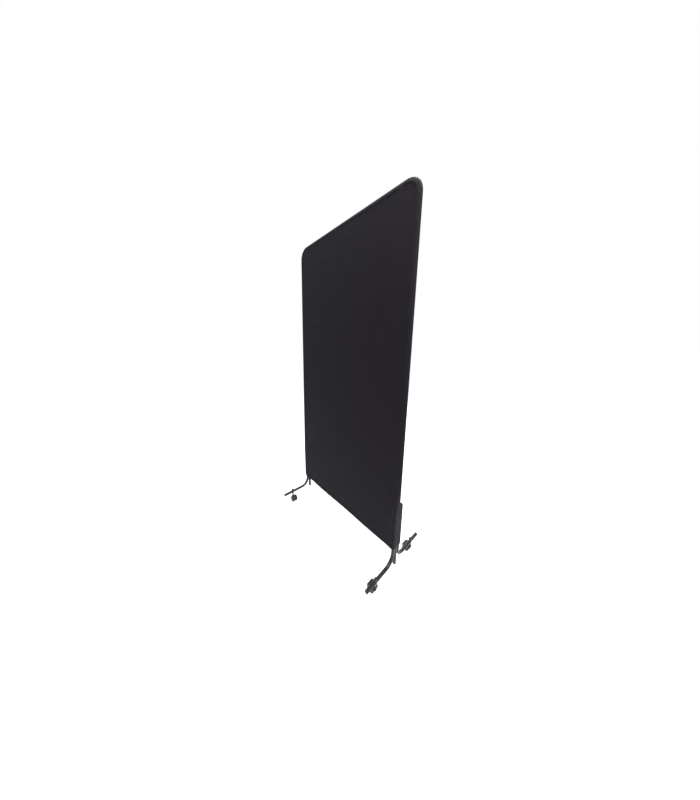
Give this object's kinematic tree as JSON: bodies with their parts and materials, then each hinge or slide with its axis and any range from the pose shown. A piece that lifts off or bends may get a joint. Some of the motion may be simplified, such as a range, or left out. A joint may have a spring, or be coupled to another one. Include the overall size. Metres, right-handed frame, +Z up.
{
  "type": "welding curtain screen",
  "caption": "Dark fabric welding curtain on a rounded tubular hoop, standing on bent tube legs with swivel twin-wheel casters.",
  "frame": {"origin": "on the floor, under the middle of the screen", "axes": "+X along the screen's width, +Y through the screen from front to rear, +Z up"},
  "size_m": [0.9, 0.494, 1.95],
  "materials": {
    "frame_paint": "satin charcoal-grey powder coat",
    "bare_steel": "bare mild steel",
    "spring_steel": "oiled spring steel",
    "zinc": "dull zinc plate",
    "cap_plastic": "matt black polyethylene",
    "curtain_fabric": "dark charcoal flame-retardant woven fabric",
    "hem_fabric": "doubled and stitched charcoal fabric",
    "caster_plastic": "satin black nylon",
    "wheel_nylon": "satin dark nylon",
    "wheel_tread": "matt grey soft tread"
  },
  "bodies": {
    "root": {"hoop_right": "frame_paint", "hoop_left": "frame_paint", "hoop_joiner": "bare_steel", "hoop_joiner_screws": "zinc", "bottom_rail": "frame_paint", "rail_pegs": "bare_steel", "upright_plugs": "cap_plastic", "leg_top_caps": "cap_plastic", "leg_end_caps": "cap_plastic", "leg_bolts": "zinc", "leg_nuts": "zinc", "leg_washers": "zinc", "leg_saddles": "bare_steel", "curtain_front": "curtain_fabric", "curtain_rear": "curtain_fabric", "curtain_hem_front": "hem_fabric", "curtain_hem_rear": "hem_fabric", "curtain_edge_band": "curtain_fabric", "leg_pocket_right": "curtain_fabric", "leg_pocket_left": "curtain_fabric", "caster_cap_nuts": "caster_plastic", "caster_jam_nuts": "zinc", "caster_washers": "zinc", "caster_rings": "spring_steel", "leg_front_right": "frame_paint", "caster_front_right_stem": "zinc", "leg_rear_right": "frame_paint", "caster_rear_right_stem": "zinc", "leg_front_left": "frame_paint", "caster_front_left_stem": "zinc", "leg_rear_left": "frame_paint", "caster_rear_left_stem": "zinc"},
    "swivel_front_right": {"caster_front_right_housing": "caster_plastic", "caster_front_right_axle": "bare_steel"},
    "wheel_front_right_a": {"caster_front_right_core_a": "wheel_nylon", "caster_front_right_tread_a": "wheel_tread"},
    "wheel_front_right_b": {"caster_front_right_core_b": "wheel_nylon", "caster_front_right_tread_b": "wheel_tread"},
    "swivel_rear_right": {"caster_rear_right_housing": "caster_plastic", "caster_rear_right_axle": "bare_steel"},
    "wheel_rear_right_a": {"caster_rear_right_core_a": "wheel_nylon", "caster_rear_right_tread_a": "wheel_tread"},
    "wheel_rear_right_b": {"caster_rear_right_core_b": "wheel_nylon", "caster_rear_right_tread_b": "wheel_tread"},
    "swivel_front_left": {"caster_front_left_housing": "caster_plastic", "caster_front_left_axle": "bare_steel"},
    "wheel_front_left_a": {"caster_front_left_core_a": "wheel_nylon", "caster_front_left_tread_a": "wheel_tread"},
    "wheel_front_left_b": {"caster_front_left_core_b": "wheel_nylon", "caster_front_left_tread_b": "wheel_tread"},
    "swivel_rear_left": {"caster_rear_left_housing": "caster_plastic", "caster_rear_left_axle": "bare_steel"},
    "wheel_rear_left_a": {"caster_rear_left_core_a": "wheel_nylon", "caster_rear_left_tread_a": "wheel_tread"},
    "wheel_rear_left_b": {"caster_rear_left_core_b": "wheel_nylon", "caster_rear_left_tread_b": "wheel_tread"}
  },
  "joints": [
    {"name": "swivel_front_right_turn", "type": "hinge", "parent": "root", "child": "swivel_front_right", "pos_m": [0.4388, -0.172, 0.04], "axis": [0, 0, 1], "continuous": true},
    {"name": "wheel_front_right_a_roll", "type": "hinge", "parent": "swivel_front_right", "child": "wheel_front_right_a", "pos_m": [0.4188, -0.172, 0.021], "axis": [0, 1, 0], "continuous": true},
    {"name": "wheel_front_right_b_roll", "type": "hinge", "parent": "swivel_front_right", "child": "wheel_front_right_b", "pos_m": [0.4188, -0.172, 0.021], "axis": [0, 1, 0], "continuous": true},
    {"name": "swivel_rear_right_turn", "type": "hinge", "parent": "root", "child": "swivel_rear_right", "pos_m": [0.4388, 0.172, 0.04], "axis": [0, 0, 1], "continuous": true},
    {"name": "wheel_rear_right_a_roll", "type": "hinge", "parent": "swivel_rear_right", "child": "wheel_rear_right_a", "pos_m": [0.4188, 0.172, 0.021], "axis": [0, 1, 0], "continuous": true},
    {"name": "wheel_rear_right_b_roll", "type": "hinge", "parent": "swivel_rear_right", "child": "wheel_rear_right_b", "pos_m": [0.4188, 0.172, 0.021], "axis": [0, 1, 0], "continuous": true},
    {"name": "swivel_front_left_turn", "type": "hinge", "parent": "root", "child": "swivel_front_left", "pos_m": [-0.4388, -0.172, 0.04], "axis": [0, 0, 1], "continuous": true},
    {"name": "wheel_front_left_a_roll", "type": "hinge", "parent": "swivel_front_left", "child": "wheel_front_left_a", "pos_m": [-0.4188, -0.172, 0.021], "axis": [0, 1, 0], "continuous": true},
    {"name": "wheel_front_left_b_roll", "type": "hinge", "parent": "swivel_front_left", "child": "wheel_front_left_b", "pos_m": [-0.4188, -0.172, 0.021], "axis": [0, 1, 0], "continuous": true},
    {"name": "swivel_rear_left_turn", "type": "hinge", "parent": "root", "child": "swivel_rear_left", "pos_m": [-0.4388, 0.172, 0.04], "axis": [0, 0, 1], "continuous": true},
    {"name": "wheel_rear_left_a_roll", "type": "hinge", "parent": "swivel_rear_left", "child": "wheel_rear_left_a", "pos_m": [-0.4188, 0.172, 0.021], "axis": [0, 1, 0], "continuous": true},
    {"name": "wheel_rear_left_b_roll", "type": "hinge", "parent": "swivel_rear_left", "child": "wheel_rear_left_b", "pos_m": [-0.4188, 0.172, 0.021], "axis": [0, 1, 0], "continuous": true}
  ]
}
